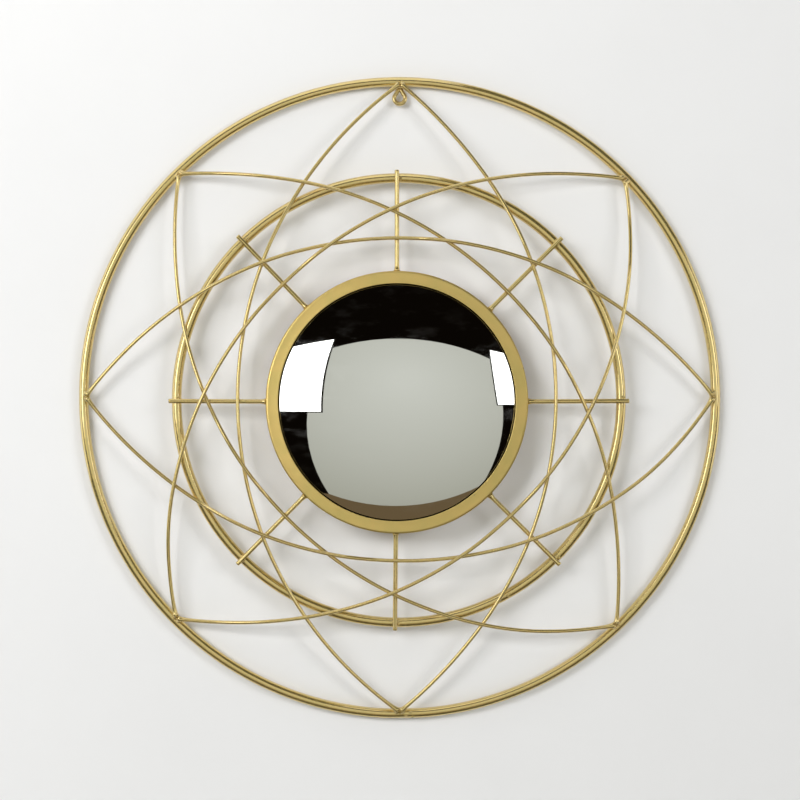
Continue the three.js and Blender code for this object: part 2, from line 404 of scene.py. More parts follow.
def sweep(line, radius, sides, closed=False, chamfer=0.0):
    """Points and faces of a round section along a line of points in metres."""
    line = np.array(line, float)
    radius = np.full(len(line), radius) if np.isscalar(radius) else np.array(radius, float)
    if not closed and chamfer:
        first = line[0] + (line[1] - line[0]) / np.linalg.norm(line[1] - line[0]) * chamfer
        last = line[-1] + (line[-2] - line[-1]) / np.linalg.norm(line[-2] - line[-1]) * chamfer
        line = np.vstack([line[:1], first[None], line[1:-1], last[None], line[-1:]])
        radius = np.concatenate([[radius[0] - chamfer], radius, [radius[-1] - chamfer]])
    if closed:
        along = np.roll(line, -1, 0) - np.roll(line, 1, 0)
    else:
        along = np.gradient(line, axis=0)
    along /= np.linalg.norm(along, axis=1)[:, None]
    across = np.cross(along, FRONT)
    across /= np.linalg.norm(across, axis=1)[:, None]
    out = np.cross(across, along)
    points = []
    for middle, side, up, size in zip(line, across, out, radius):
        for i in range(sides):
            turn = 2 * math.pi * i / sides
            around = math.cos(turn) * side + math.sin(turn) * up
            uneven = PAINT_UNEVEN * noise.noise(Vector(middle + around * size) * PAINT_PATCH)
            points.append(middle + around * size * (1 + uneven))
    stations = len(line)
    faces = skin(stations, sides, closed)
    if not closed:
        faces.append(tuple(range(sides)))
        faces.append(tuple(range((stations - 1) * sides, stations * sides)))
    return points, faces


# %% [markdown]
# ## The two tube rings
#
# Both rings are thin steel tube rolled to a circle, about ten millimetres across. The large one lies on
# the wall. The smaller one stands forward and sits a little low, because the mirror was welded up by eye.
#
# The large ring's ends meet at the bottom. They were butted by hand, so the tube steps in by half a
# millimetre there, over a few degrees. Its radius is 0.3 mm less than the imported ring's, whose tube has
# flat sides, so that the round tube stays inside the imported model's box.

# %% Rings
OUTER_RADIUS, OUTER_TUBE, OUTER_RISE = 344.5, 10.5, 5.5
INNER_RADIUS, INNER_TUBE, INNER_RISE = 241.0, 10.6, 16.5
INNER_X, INNER_Z = -0.9, -2.8
RING_STATIONS = 540
RING_SIDES = 28
BUTT_ANGLE = 270.8
BUTT_STEP = 0.5
BUTT_REACH = 2.2


def ring_line(radius, rise, centre_x=0.0, centre_z=0.0, butt=0.0):
    line = []
    for i in range(RING_STATIONS):
        angle = 360 * i / RING_STATIONS
        dip = butt * math.exp(-(((angle - BUTT_ANGLE) / BUTT_REACH) ** 2))
        x, z = heading(angle) * (radius - dip)
        line.append(on_wall(x, z, rise, centre_x, centre_z))
    return line


outer_line = ring_line(OUTER_RADIUS, OUTER_RISE, butt=BUTT_STEP)
outer_points, outer_faces = sweep(outer_line, OUTER_TUBE / 2 * MM, RING_SIDES, closed=True)
add_piece("outer_tube_ring", outer_points, outer_faces, tube_gold, ["outer_ring"])

inner_line = ring_line(INNER_RADIUS, INNER_RISE, INNER_X, INNER_Z)
inner_points, inner_faces = sweep(inner_line, INNER_TUBE / 2 * MM, RING_SIDES, closed=True)
add_piece("inner_tube_ring", inner_points, inner_faces, tube_gold, ["inner_ring"])
print("ring faces:", len(outer_faces), len(inner_faces))

# %% [markdown]
# ## The eight directions
#
# Eight wires bulge towards eight directions, with a spoke under the middle of each. They were set by hand,
# so each strays by a degree or so and bows by a few millimetres more or less. The table holds what the
# real mirror shows: how far from the hub the wire passes, the small leans of the wire, its spoke and its
# joint on the large ring, and which layer the wire was laid in. A wire goes over every wire of a lower
# layer.

# %% Directions
DIRECTIONS = [
    dict(name="right", angle=0, bow=168.6, lean=0, layer=0, spoke_lean=0.3, joint_lean=0.2),
    dict(name="upper_right", angle=45, bow=163.1, lean=-0.7, layer=1, spoke_lean=-0.1, joint_lean=-0.8),
    dict(name="top", angle=90, bow=172.1, lean=-0.2, layer=2, spoke_lean=0, joint_lean=-0.1),
    dict(name="upper_left", angle=135, bow=175.4, lean=-1.7, layer=3, spoke_lean=-1.2, joint_lean=-0.4),
    dict(name="left", angle=180, bow=174.7, lean=-0.3, layer=0, spoke_lean=-0.3, joint_lean=-0.2),
    dict(name="lower_left", angle=225, bow=177.6, lean=-1.9, layer=1, spoke_lean=0.4, joint_lean=-0.3),
    dict(name="bottom", angle=270, bow=176.0, lean=-1.1, layer=2, spoke_lean=-0.5, joint_lean=0),
    dict(name="lower_right", angle=315, bow=174.9, lean=-1.3, layer=3, spoke_lean=0, joint_lean=-1.4),
]

# %% [markdown]
# ## The pan
#
# The glass sits in a shallow pan pressed from sheet: a flat band faces the viewer, rolls over a small
# radius, and runs back as a side wall. A lathe profile is the natural way to make it. The profile is a
# closed loop of sheet thickness, turned round the axis that points out of the wall.
#
# The inner edge of the band is folded and catches the light as a thin line, so it is fully rounded.
# Pressing leaves the band slightly hollow and wavy, which shows as slow changes in its shine.

# %% Pan sizes
PAN_RADIUS, PAN_MOUTH, PAN_FACE, PAN_BACK = 141.3, 127.8, 36.0, 15.0
PAN_SHEET, PAN_ROUND = 1.2, 2.2
PAN_X, PAN_Z = -2.9, -5.0
PAN_STATIONS = 480
LIP_STEPS, BAND_STEPS, ROUND_STEPS, WALL_STEPS, HEM_STEPS, INSIDE_STEPS = 10, 14, 10, 10, 8, 6
BAND_WAVE, WAVE_PATCH, WAVE_DEPTH = 0.10, 0.03, 1.5
BAND_SAG = 0.08


def profile_arc(centre_radius, centre_rise, size, start, end, steps):
    """Points of an arc in the profile, between two angles. 0 points outward and 90 to the front."""
    arc = []
    for i in range(steps + 1):
        turn = math.radians(start + (end - start) * i / steps)
        arc.append((centre_radius + size * math.cos(turn), centre_rise + size * math.sin(turn)))
    return arc


def pan_profile():
    """The pan's sheet as a closed loop: lip, band, rounded corner, wall, hem and inside."""
    lip = PAN_SHEET / 2
    corner = (PAN_RADIUS - PAN_ROUND, PAN_FACE - PAN_ROUND)
    loop = profile_arc(PAN_MOUTH + lip, PAN_FACE - lip, lip, 270, 90, LIP_STEPS)
    for i in range(1, BAND_STEPS):
        share = i / BAND_STEPS
        radius = PAN_MOUTH + lip + (corner[0] - PAN_MOUTH - lip) * share
        loop.append((radius, PAN_FACE - BAND_SAG * math.sin(math.pi * share)))
    loop += profile_arc(*corner, PAN_ROUND, 90, 0, ROUND_STEPS)
    for i in range(1, WALL_STEPS):
        loop.append((PAN_RADIUS, corner[1] + (PAN_BACK + lip - corner[1]) * i / WALL_STEPS))
    loop += profile_arc(PAN_RADIUS - lip, PAN_BACK + lip, lip, 0, -180, HEM_STEPS)
    loop += profile_arc(*corner, PAN_ROUND - PAN_SHEET, 0, 90, INSIDE_STEPS)
    return loop


# %% [markdown]
# The paint reads two values from the pan's mesh. One is high in the middle of each chip on the band's
# edges. The other is 1 on the hidden half of the lip, where the gold is turned near black as painted shade,
# to make the gap against the glass dark.

# %% Chips on the pan
CHIP_SINK = 0.6
PAN_CHIPS = [
    dict(angle=15, radius=140.6, size=1.5),
    dict(angle=69, radius=140.4, size=1.9),
    dict(angle=63.6, radius=128.6, size=1.3),
    dict(angle=222, radius=128.8, size=1.5),
    dict(angle=309.6, radius=129.4, size=1.8),
    dict(angle=311.2, radius=140.8, size=1.2),
]


def turned(profile):
    """Points and faces of the pan's profile turned round its axis, with the band a little wavy."""
    points = []
    for j in range(PAN_STATIONS):
        direction = heading(360 * j / PAN_STATIONS)
        for radius, rise in profile:
            x, z = direction * radius
            wave = BAND_WAVE * noise.noise(Vector((x, z, 0)) * WAVE_PATCH)
            lift = wave if rise > PAN_FACE - WAVE_DEPTH else 0
            points.append(on_wall(x, z, rise + lift, PAN_X, PAN_Z))
    return points, skin(PAN_STATIONS, len(profile), closed=True)


def mark_wear(piece):
    """Writes how worn the paint is at each vertex, 1 in the middle of a chip and 0 away from it."""
    wear = piece.data.attributes.new(WEAR_VALUE, "FLOAT", "POINT")
    middles = []
    for chip in PAN_CHIPS:
        x, z = heading(chip["angle"]) * chip["radius"]
        middles.append((on_wall(x, z, PAN_FACE - CHIP_SINK, PAN_X, PAN_Z), chip["size"] * MM))
    for vertex, value in zip(piece.data.vertices, wear.data):
        value.value = max(max(0, 1 - (vertex.co - middle).length / size) for middle, size in middles)


def mark_painted_gap_shade(piece):
    """Writes 1 on the hidden half of the band's lip, where the paint becomes painted shade, and 0 elsewhere.
    """
    gap_shade = piece.data.attributes.new(GAP_SHADE_VALUE, "FLOAT", "POINT")
    middle = on_wall(0, 0, PAN_FACE, PAN_X, PAN_Z)
    for vertex, value in zip(piece.data.vertices, gap_shade.data):
        place = (vertex.co - middle) / MM
        on_lip = math.hypot(place.x, place.z) < PAN_MOUTH + PAN_SHEET
        value.value = float(place.y > PAN_SHEET / 2 and on_lip)


pan_points, pan_faces = turned(pan_profile())
pan = add_piece("mirror_pan", pan_points, pan_faces, pan_gold, ["mirror_frame"])
mark_wear(pan)
mark_painted_gap_shade(pan)
print("pan faces:", len(pan_faces), "chips:", len(PAN_CHIPS))

# %% [markdown]
# ## The convex glass
#
# The glass is an even shell cut from a sphere. Its rim lies just behind the band, and the dark gap between
# them, with painted shade on the hidden side of the lip, makes a fine line round the reflection. The curve
# decides what the mirror shows, so it follows the real sphere exactly. Rows of points close enough together
# keep the smooth shading true to the curve.

# %% Glass
GLASS_RADIUS, GLASS_CURVE, GLASS_THICK, GLASS_GAP = 131.0, 417.0, 3.0, 1.6
GLASS_ROWS = 40
DISC_STATIONS = 256
GLASS_EDGE = 0.5


def glass_fall(radius):
    """How far the sphere drops from its highest point at this radius."""
    return GLASS_CURVE - math.sqrt(GLASS_CURVE**2 - radius**2)


def disc(profile):
    """Points and faces of an open profile from axis to axis, turned and closed with a point at each end."""
    first, *middle, last = profile
    points = [on_wall(0, 0, first[1], PAN_X, PAN_Z)]
    for j in range(DISC_STATIONS):
        direction = heading(360 * j / DISC_STATIONS)
        for radius, rise in middle:
            x, z = direction * radius
            points.append(on_wall(x, z, rise, PAN_X, PAN_Z))
    points.append(on_wall(0, 0, last[1], PAN_X, PAN_Z))
    size = len(middle)
    faces = []
    for j in range(DISC_STATIONS):
        here, there = 1 + j * size, 1 + (j + 1) % DISC_STATIONS * size
        faces.append((0, here, there))
        faces.append((len(points) - 1, there + size - 1, here + size - 1))
        for i in range(size - 1):
            faces.append((here + i, here + i + 1, there + i + 1, there + i))
    return points, faces


def glass_profile():
    rim_rise = PAN_FACE - PAN_SHEET - GLASS_GAP
    apex = rim_rise + glass_fall(PAN_MOUTH)
    edge_rows = [GLASS_RADIUS * i / GLASS_ROWS for i in range(GLASS_ROWS)] + [GLASS_RADIUS - GLASS_EDGE]
    front = [(radius, apex - glass_fall(radius)) for radius in edge_rows]
    rim = apex - glass_fall(GLASS_RADIUS)
    side = [(GLASS_RADIUS, rim - GLASS_EDGE), (GLASS_RADIUS, rim - GLASS_THICK + GLASS_EDGE)]
    back = [(radius, rise - GLASS_THICK) for radius, rise in reversed(front)]
    return front + side + back


glass_points, glass_faces = disc(glass_profile())
add_piece("convex_glass", glass_points, glass_faces, mirror_silver, ["mirror_glass"])
print("glass stands proud of the band, mm:", round(max(-p.y for p in glass_points) / MM - PAN_FACE, 1))

# %% [markdown]
# ## The back panel
#
# The hardboard disc closes the pan a millimetre inside its back edge. It is a plain disc with slightly
# crushed edges, which is all that a sawn board of this kind shows.

# %% Back panel
PANEL_RADIUS, PANEL_THICK, PANEL_RECESS, PANEL_EDGE = 139.5, 3.0, 1.0, 0.4
PANEL_ROWS = 8


def panel_profile():
    rear = PAN_BACK + PANEL_RECESS
    rows = [(PANEL_RADIUS - PANEL_EDGE) * i / PANEL_ROWS for i in range(PANEL_ROWS + 1)]
    behind = [(radius, rear) for radius in rows]
    edge = [(PANEL_RADIUS, rear + PANEL_EDGE), (PANEL_RADIUS, rear + PANEL_THICK - PANEL_EDGE)]
    ahead = [(radius, rear + PANEL_THICK) for radius in reversed(rows)]
    return behind + edge + ahead


panel_points, panel_faces = disc(panel_profile())
back_panel = add_piece(
    "hardboard_back", panel_points, panel_faces, panel_brown, ["back_panel"]
)
print("panel faces:", len(panel_faces))

# %% [markdown]
# ## Weld beads
#
# Where two rods meet there is a small blob of weld under the paint. A ball pulled long and pushed in and
# out by noise looks like one, as long as no two are alike, so each takes its own place in the noise. The
# beads of one joint line are one piece, because on the real mirror they are one run of metal with the
# rods.

# %% Bead helper
BEAD_DETAIL = 3
BEAD_ROUGH = 0.30
BEAD_LUMP = 1.7
BEAD_SEED = 0.37


class Beads:
    """Collects beads, then turns them into one piece."""

    def __init__(self):
        self.points = []
        self.faces = []

    def add(self, middle, size, turn=0.0):
        """One bead, of these half lengths along, across and out, in mm, turned on the wall."""
        ball = bmesh.new()
        bmesh.ops.create_icosphere(ball, subdivisions=BEAD_DETAIL, radius=1.0)
        spin = Matrix.Rotation(-math.radians(turn), 3, "Y")
        start = len(self.points)
        seed = Vector((len(self.points) * BEAD_SEED, 0, 0))
        for vertex in ball.verts:
            push = 1 + BEAD_ROUGH * noise.noise(vertex.co * BEAD_LUMP + seed)
            ball_point = Vector((vertex.co.x * size[0], -vertex.co.y * size[2], vertex.co.z * size[1]))
            self.points.append(middle + spin @ (ball_point * push * MM))
        for face in ball.faces:
            self.faces.append(tuple(start + corner.index for corner in face.verts))
        ball.free()

    def make(self, name):
        return add_piece(name, self.points, self.faces, bead_gold)


# %% [markdown]
# ## Spokes
#
# Each spoke is a straight rod, welded to the pan's side wall, that lies over the front of the small ring
# and ends a little past it. Near the pan it swells into its weld, which gets one bead, and two more beads
# hold the spoke to the small ring, one on each side.

# %% Spokes
SPOKE_ACROSS = 5.0
SPOKE_OVERHANG = 2.6
SPOKE_WALL_GAP = 0.4
TOUCH = 0.3
ROD_SIDES = 20
SPOKE_STATIONS = 60
SPOKE_CHAMFER = 0.5
SPOKE_RISE = INNER_RISE + INNER_TUBE / 2 + TOUCH + SPOKE_ACROSS / 2
SPOKE_SWELL, SPOKE_SWELL_REACH = 0.9, 3.0
PAN_BEAD, PAN_BEAD_OUT, PAN_BEAD_SINK = (1.6, 3.6, 3.1), 0.6, 0.4
FOOT_BEAD, FOOT_BEAD_OUT, FOOT_BEAD_ASIDE, FOOT_BEAD_SINK = (2.6, 1.3, 1.1), 1.5, 2.2, 0.2


def spoke_length(lane):
    """Distance from the pan's centre to where the spoke ends, past the small ring."""
    reach = INNER_RADIUS + INNER_TUBE / 2 + SPOKE_OVERHANG
    start = np.array([PAN_X - INNER_X, PAN_Z - INNER_Z])
    along = start @ lane
    return -along + math.sqrt(along**2 - start @ start + reach**2)


spoke_beads = Beads()
for place in DIRECTIONS:
    lane_angle = place["angle"] + place["spoke_lean"]
    lane = heading(lane_angle)
    near, far = PAN_RADIUS + SPOKE_WALL_GAP, spoke_length(lane)
    spoke_line = []
    spoke_size = []
    for i in range(SPOKE_STATIONS + 1):
        reach = near + (far - near) * i / SPOKE_STATIONS
        x, z = lane * reach
        spoke_line.append(on_wall(x, z, SPOKE_RISE, PAN_X, PAN_Z))
        swell = SPOKE_SWELL * math.exp(-(((reach - near) / SPOKE_SWELL_REACH) ** 2))
        spoke_size.append((SPOKE_ACROSS / 2 + swell) * MM)
    points, faces = sweep(spoke_line, spoke_size, ROD_SIDES, chamfer=SPOKE_CHAMFER * MM)
    name = "spoke_" + place["name"]
    add_piece(name + "_rod", points, faces, wire_gold, [name])
    x, z = lane * (PAN_RADIUS + PAN_BEAD_OUT)
    spoke_beads.add(on_wall(x, z, SPOKE_RISE - PAN_BEAD_SINK, PAN_X, PAN_Z), PAN_BEAD, lane_angle)
    aside = np.array([-lane[1], lane[0]])
    for side in (-1, 1):
        x, z = lane * (INNER_RADIUS + FOOT_BEAD_OUT * side) + aside * side * FOOT_BEAD_ASIDE
        foot = on_wall(x, z, INNER_RISE + INNER_TUBE / 2 - FOOT_BEAD_SINK, INNER_X, INNER_Z)
        spoke_beads.add(foot, FOOT_BEAD, lane_angle)
spoke_beads.make("spoke_weld_beads")
print("spokes:", len(DIRECTIONS), "rise, mm:", round(SPOKE_RISE, 2))

# %% [markdown]
# ## The bowed wires
#
# Each wire is an arc from one joint on the large ring to the joint two places on. All were bent to one
# radius and then sprung into place, so near its ends the line drifts from the arc to the joint it was
# welded at.

# %% Wire arcs
WIRE_ACROSS, WIRE_BEND, WIRE_JOINT = 4.0, 420.0, 341.5
WIRE_JOINT_RISE, WIRE_CUT_BACK = 12.2, 1.9
WIRE_WEAVE = 4.6
SPOKE_REST = 214.0
DRIFT_START = math.radians(36)
WIRE_RISE = SPOKE_RISE + SPOKE_ACROSS / 2 + TOUCH + WIRE_ACROSS / 2
RING_REST_RISE = INNER_RISE + INNER_TUBE / 2 + TOUCH + WIRE_ACROSS / 2


def hub_to_centre(place):
    """How far the centre of a wire's arc lies from the hub."""
    return WIRE_BEND - place["bow"]


def half_turn(place):
    """The turn along the arc from its middle to where it reaches the joints."""
    away = hub_to_centre(place)
    return math.acos((WIRE_BEND**2 + away**2 - WIRE_JOINT**2) / (2 * WIRE_BEND * away))


def arc_centre(place):
    return heading(place["angle"] + place["lean"]) * -hub_to_centre(place)


def on_arc(place, turn):
    return arc_centre(place) + heading(place["angle"] + place["lean"] + math.degrees(turn)) * WIRE_BEND


def joint_point(place, side):
    """The joint that a wire ends at: the one two places on, or two places back."""
    joint = DIRECTIONS[(DIRECTIONS.index(place) + 2 * side) % len(DIRECTIONS)]
    return heading(joint["angle"] + joint["joint_lean"]) * WIRE_JOINT


def on_wire(place, turn):
    """A point of the sprung wire: on its arc in the middle, and drifting to its joints beyond."""
    point = on_arc(place, turn)
    past = abs(turn) - DRIFT_START
    if past <= 0:
        return point
    side = 1 if turn > 0 else -1
    end = half_turn(place)
    miss = joint_point(place, side) - on_arc(place, side * end)
    return point + miss * (past / (end - DRIFT_START)) ** 2


# %% [markdown]
# The weave is the hard part. Where two wires cross, one has to stand over the other, or they would run
# through each other. So each wire has stations: its middle, its ends and each crossing. At a station it
# either lies down or is lifted by the height of a wire, and it eases from one to the next.

# %% Weave
RAMP_START = 0.25


def crossing_turn(place, other):
    """Where two arcs cross inside the ring, as a turn along the first."""
    a, b = arc_centre(place), arc_centre(other)
    apart = np.linalg.norm(b - a)
    across = (b - a) / apart
    normal = np.array([-across[1], across[0]])
    reach = math.sqrt(WIRE_BEND**2 - (apart / 2) ** 2)
    inside = min(((a + b) / 2 + normal * reach * sign for sign in (1, -1)), key=np.linalg.norm)
    turn = math.atan2(*(inside - a)[::-1]) - math.radians(place["angle"] + place["lean"])
    return math.atan2(math.sin(turn), math.cos(turn))


def stations_of(place):
    """A wire's stations in order, each with its turn and 1 if the wire is lifted there."""
    stations = [(0.0, 0)]
    for other in DIRECTIONS:
        if other["layer"] != place["layer"]:
            stations.append((crossing_turn(place, other), int(place["layer"] > other["layer"])))
    end = half_turn(place)
    return sorted(stations + [(-end, 0), (end, 0)])


def lift_at(stations, turn):
    """How far the wire is lifted at a turn, from 0 to 1."""
    passed = [i for i in range(len(stations) - 1) if i == 0 or stations[i][0] <= turn]
    (start, low), (end, high) = stations[passed[-1] : passed[-1] + 2]
    share = (turn - start) / (end - start)
    share = min(max((share - RAMP_START) / (1 - 2 * RAMP_START), 0), 1)
    eased = share * share * (3 - 2 * share)
    return low + (high - low) * eased


def rest_rise(distance):
    """Wires lie on the spokes near the hub, then on the small ring, and slope down to the large ring."""
    stops = (0, SPOKE_REST, INNER_RADIUS, WIRE_JOINT)
    return np.interp(distance, stops, (WIRE_RISE, WIRE_RISE, RING_REST_RISE, WIRE_JOINT_RISE))


# %% [markdown]
# At its ends the wire swells a little, where weld and paint have run up it. The crossing over the spoke is
# tacked with a small bead on each side.

# %% Wires
WIRE_STATIONS = 260
WIRE_SWELL, WIRE_SWELL_REACH = 1.7, 4.6
WIRE_CHAMFER = 1.1
CROSSING_BEAD, CROSSING_BEAD_ASIDE, CROSSING_BEAD_SINK = (1.8, 1.2, 1.0), 2.4, 0.4

wire_beads = Beads()
wire_lengths = []
for place in DIRECTIONS:
    stations = stations_of(place)
    end = half_turn(place) - WIRE_CUT_BACK / WIRE_BEND
    wire_line = []
    wire_size = []
    for i in range(WIRE_STATIONS + 1):
        turn = end * (2 * i / WIRE_STATIONS - 1)
        x, z = on_wire(place, turn)
        rise = rest_rise(math.hypot(x, z)) + WIRE_WEAVE * lift_at(stations, turn)
        wire_line.append(on_wall(x, z, rise))
        to_end = (end - abs(turn)) * WIRE_BEND
        wire_size.append((WIRE_ACROSS / 2 + WIRE_SWELL * math.exp(-to_end / WIRE_SWELL_REACH)) * MM)
    points, faces = sweep(wire_line, wire_size, ROD_SIDES, chamfer=WIRE_CHAMFER * MM)
    name = "wire_" + place["name"]
    add_piece(name + "_rod", points, faces, wire_gold, [name])
    wire_lengths.append(sum((b - a).length for a, b in zip(wire_line, wire_line[1:])))
    x, z = on_wire(place, 0)
    for side in (-1, 1):
        aside_x, aside_z = heading(place["angle"] + place["spoke_lean"] + 90) * side * CROSSING_BEAD_ASIDE
        crossing = on_wall(x + aside_x, z + aside_z, SPOKE_RISE + SPOKE_ACROSS / 2 - CROSSING_BEAD_SINK)
        wire_beads.add(crossing, CROSSING_BEAD, place["angle"])
wire_beads.make("crossing_weld_beads")
print("wire lengths, mm:", [round(length / MM) for length in wire_lengths])

# %% [markdown]
# ## Joints on the large ring
#
# Two wires come together at each joint and are welded to the front of the tube, just inside its middle. A
# flat bead fills the corner between them, and on each side there is a large lump and a small drop, which
# grow and shift from joint to joint. The bottom joint sits beside the butt weld of the ring itself, the
# roughest of all.
#
# The tables give each bead's place outward from the joint, beside it and above it.

# %% Joint beads
JOINT_RISE, JOINT_RADIUS = 10.6, 342.4
CORNER_BEAD = dict(out=-1.2, lift=-0.2, size=(2.0, 2.6, 1.5))
SIDE_BEADS = [
    dict(out=-1.6, aside=3.4, lift=1.5, size=(3.3, 2.5, 2.4), turn=135, shifts=1, grows=(0.6, 0, 0)),
    dict(out=1.0, aside=1.6, lift=0.1, size=(1.3, 1.5, 1.2), turn=25, shifts=-1, grows=(0, 0, 0.3)),
]
UNEVEN_MOST, UNEVEN_STEP = 0.5, 2.4
BUTT_BEADS = [
    dict(degrees=1.2, out=-1.8, size=(1.5, 2.2, 1.5)),
    dict(degrees=0.4, out=1.6, size=(1.3, 1.8, 1.6)),
    dict(degrees=1.5, out=3.2, size=(1.2, 1.5, 1.1)),
]
BUTT_BEAD_SINK = 0.9

joint_beads = Beads()
for number, place in enumerate(DIRECTIONS):
    angle = place["angle"] + place["joint_lean"]
    out = heading(angle)
    along = np.array([-out[1], out[0]])
    x, z = out * (JOINT_RADIUS + CORNER_BEAD["out"])
    joint_beads.add(on_wall(x, z, JOINT_RISE + CORNER_BEAD["lift"]), CORNER_BEAD["size"], angle)
    for side in (-1, 1):
        uneven = UNEVEN_MOST * math.sin(number * UNEVEN_STEP + side)
        for bead in SIDE_BEADS:
            shift = bead["shifts"] * uneven
            x, z = out * (JOINT_RADIUS + bead["out"] + shift) + along * side * (bead["aside"] + shift)
            size = np.array(bead["size"]) + np.array(bead["grows"]) * uneven
            joint_beads.add(on_wall(x, z, JOINT_RISE + bead["lift"]), size, angle + bead["turn"] * side)

for bead in BUTT_BEADS:
    x, z = heading(BUTT_ANGLE + bead["degrees"]) * (OUTER_RADIUS + bead["out"])
    butt = on_wall(x, z, OUTER_RISE + OUTER_TUBE / 2 - BUTT_BEAD_SINK)
    joint_beads.add(butt, bead["size"], BUTT_ANGLE)
joint_beads.make("joint_weld_beads")

# %% [markdown]
# A few wires are also tacked to the small ring, and the tack shows as a low blob on its front.

# %% Tacks on the small ring
TACK_ANGLES = (108.9, 162.9, 241.7, 299.4, 338.7)
TACK_BEAD, TACK_OUT, TACK_SINK = (1.6, 2.6, 0.9), 1.0, 0.2

tack_beads = Beads()
for angle in TACK_ANGLES:
    x, z = heading(angle) * (INNER_RADIUS + TACK_OUT)
    tack = on_wall(x, z, INNER_RISE + INNER_TUBE / 2 - TACK_SINK, INNER_X, INNER_Z)
    tack_beads.add(tack, TACK_BEAD, angle)
tack_beads.make("tack_weld_beads")
print("tacks:", len(TACK_ANGLES))

# %% [markdown]
# ## The hanging eye
#
# The eye is a short wire bent round a bar. Its legs close above the hole, run up side by side and are
# welded under the large ring. That makes a teardrop, so the line is most of a circle and two legs, which
# leave the circle where its tangents to the neck touch it.

# %% Hanging eye
EYE_WIRE, EYE_RING, EYE_NECK = 4.6, 6.0, 8.8
EYE_LEG_TOP = 12.6
EYE_LEG_APART = 1.5
EYE_LEG_STEPS = 10
EYE_TURN_STEPS = 48
EYE_SIDES = 16
EYE_BEADS = [
    dict(aside=0, ahead=0, below=0, size=(3.6, 1.6, 2.2)),
    dict(aside=1.2, ahead=1.2, below=1.4, size=(1.4, 2.2, 1.2)),
]


def eye_line():
    leave = math.asin(EYE_RING / EYE_NECK)
    ring = []
    for i in range(EYE_TURN_STEPS + 1):
        turn = math.pi - leave + (math.pi + 2 * leave) * i / EYE_TURN_STEPS
        ring.append((EYE_RING * math.cos(turn), EYE_RING * math.sin(turn)))
    legs = []
    for side, foot in ((-1, ring[0]), (1, ring[-1])):
        neck = np.array([side * EYE_LEG_APART, EYE_NECK])
        leg = [(side * EYE_LEG_APART, EYE_LEG_TOP)]
        for i in range(EYE_LEG_STEPS):
            leg.append(tuple(neck + (np.array(foot) - neck) * i / EYE_LEG_STEPS))
        legs.append(leg)
    flat = legs[0] + ring + legs[1][::-1]
    return [Vector((x, -OUTER_RISE, z)) * MM for x, z in flat]


eye_points, eye_faces = sweep(eye_line(), EYE_WIRE / 2 * MM, EYE_SIDES)
add_piece("hanging_eye_wire", eye_points, eye_faces, wire_gold, ["hanging_eye"])
eye_beads = Beads()
for bead in EYE_BEADS:
    middle = Vector((bead["aside"], -OUTER_RISE - bead["ahead"], EYE_LEG_TOP - bead["below"])) * MM
    eye_beads.add(middle, bead["size"])
eye_beads.make("eye_weld_beads")
print("eye hole across, mm:", EYE_RING * 2 - EYE_WIRE)

# %% [markdown]
# ## Studio
#
# The mirror is lit as a catalogue picture is: a pale wall behind, two softboxes in front, and a big grey
# paper between them that hides the room. What the convex glass shows is the studio itself, so these cards
# matter twice: they draw the lines along the gold tubes, and they are the picture in the mirror.
#
# The wall is one-sided. Seen from behind it is clear, so that the back of the mirror can be looked at. The
# floor is far below the softboxes, so it gets a little glow of its own, which only the camera sees.

# %% Stage helpers
WALL_WHITE = (0.86, 0.86, 0.865)
STAGE_ROUGHNESS = 0.9
MOTTLE_PATCH, MOTTLE_RANGE, MOTTLE_SHADE = 3, (0.3, 0.7), 0.97
HUB_Z = HUB_HEIGHT * MM


def pale_paint(name, colour, one_sided=False, own_glow=0.0):
    """Matt paint, which can be clear from behind, or have a glow that only the camera sees."""
    finish, tree, shader = new_finish(name)
    mottle = remap(tree, noise_at(tree, MOTTLE_PATCH), *MOTTLE_RANGE, 0, 1)
    darker = tuple(MOTTLE_SHADE * part for part in colour)
    set_inputs(shader, Base_Color=blend_colours(tree, mottle, colour, darker), Roughness=STAGE_ROUGHNESS)
    if own_glow:
        seen = add_node(tree, "ShaderNodeLightPath").outputs["Is Camera Ray"]
        strength = remap(tree, seen, 0, 1, 0, own_glow)
        set_inputs(shader, Emission_Color=(*colour, 1), Emission_Strength=strength)
    if one_sided:
        behind = add_node(tree, "ShaderNodeNewGeometry").outputs["Backfacing"]
        clear = add_node(tree, "ShaderNodeBsdfTransparent").outputs[0]
        surface = choose_shader(tree, behind, shader.outputs[0], clear)
        set_inputs(tree.nodes["Material Output"], Surface=surface)
    return finish


def stage_sheet(name, corners, finish):
    """A flat sheet of the set, from its corners in order."""
    mesh = bpy.data.meshes.new(name)
    mesh.from_pydata([tuple(corner) for corner in corners], [], [tuple(range(len(corners)))])
    mesh.materials.append(finish)
    sheet = bpy.data.objects.new(name, mesh)
    bpy.context.collection.objects.link(sheet)
    return sheet


# %% Wall and floor
WALL_GAP = 0.0006
WALL_HALF, FLOOR_HALF = 3.0, 6.0
FLOOR_DROP = 1.5
FLOOR_GLOW = 0.45

floor_z = HUB_Z - FLOOR_DROP
wall_top = HUB_Z + WALL_HALF
wall_outline = ((-1, floor_z), (1, floor_z), (1, wall_top), (-1, wall_top))
wall_corners = [(side * WALL_HALF, WALL_GAP, height) for side, height in wall_outline]
stage_sheet("pale_wall", wall_corners, pale_paint("pale_wall_paint", WALL_WHITE, one_sided=True))

floor_outline = ((-1, -1), (1, -1), (1, 1), (-1, 1))
floor_corners = [(x * FLOOR_HALF, y * FLOOR_HALF, floor_z) for x, y in floor_outline]
floor_paint = pale_paint("pale_floor_paint", WALL_WHITE, own_glow=FLOOR_GLOW)
floor = stage_sheet("pale_floor", floor_corners, floor_paint)
floor.visible_glossy = False

